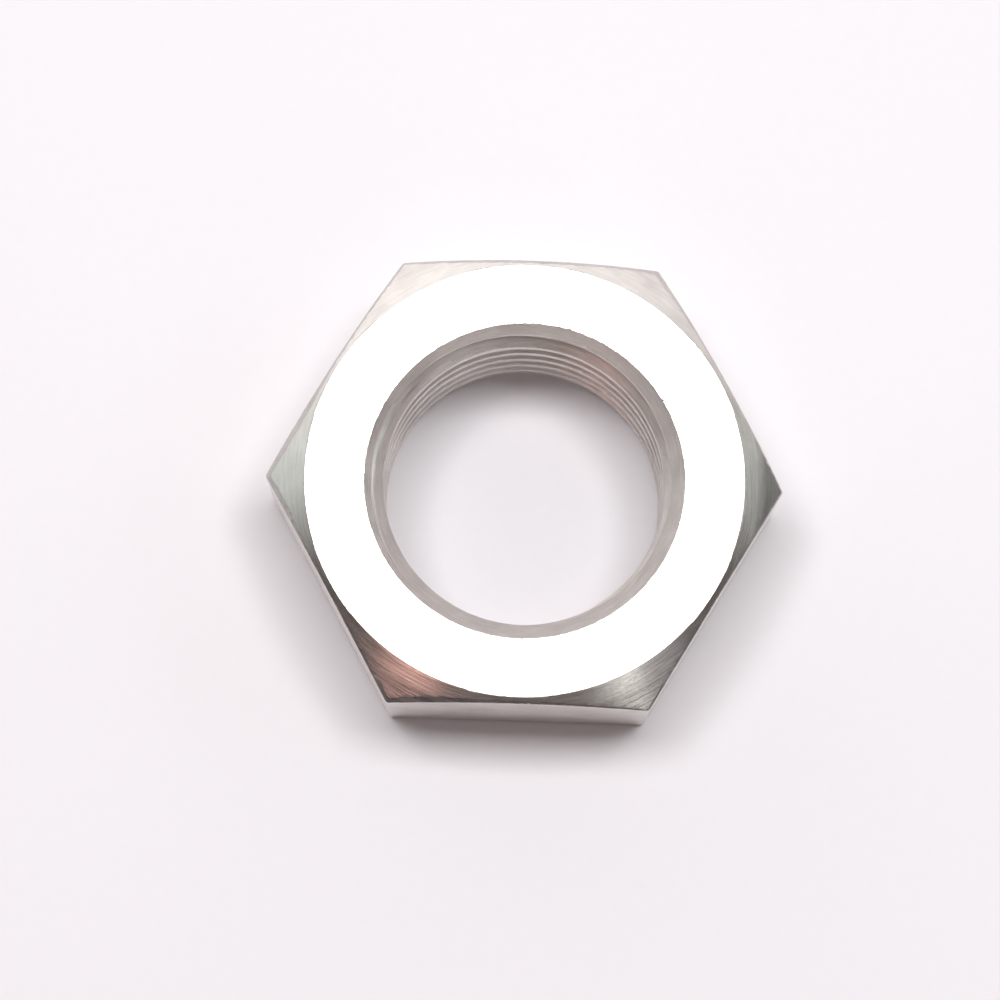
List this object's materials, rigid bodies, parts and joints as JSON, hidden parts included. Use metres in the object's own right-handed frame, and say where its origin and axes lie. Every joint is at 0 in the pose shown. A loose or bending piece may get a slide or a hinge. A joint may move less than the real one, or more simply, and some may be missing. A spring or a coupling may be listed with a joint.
{
  "type": "hex nut",
  "caption": "Thin hexagon nut, turned to a flat ring with sloped corners on its upper side, with a fine right-hand thread countersunk at both ends.",
  "frame": {"origin": "middle of the lower bearing face, on the thread's axis", "axes": "+Z along the thread towards the turned ring, +X through a corner, +Y square to a flat"},
  "size_m": [0.041, 0.0354, 0.012],
  "materials": {
    "machined_steel": "turned and milled, bright, with fine tool marks"
  },
  "bodies": {
    "root": {"hex_nut": "machined_steel"}
  },
  "joints": []
}
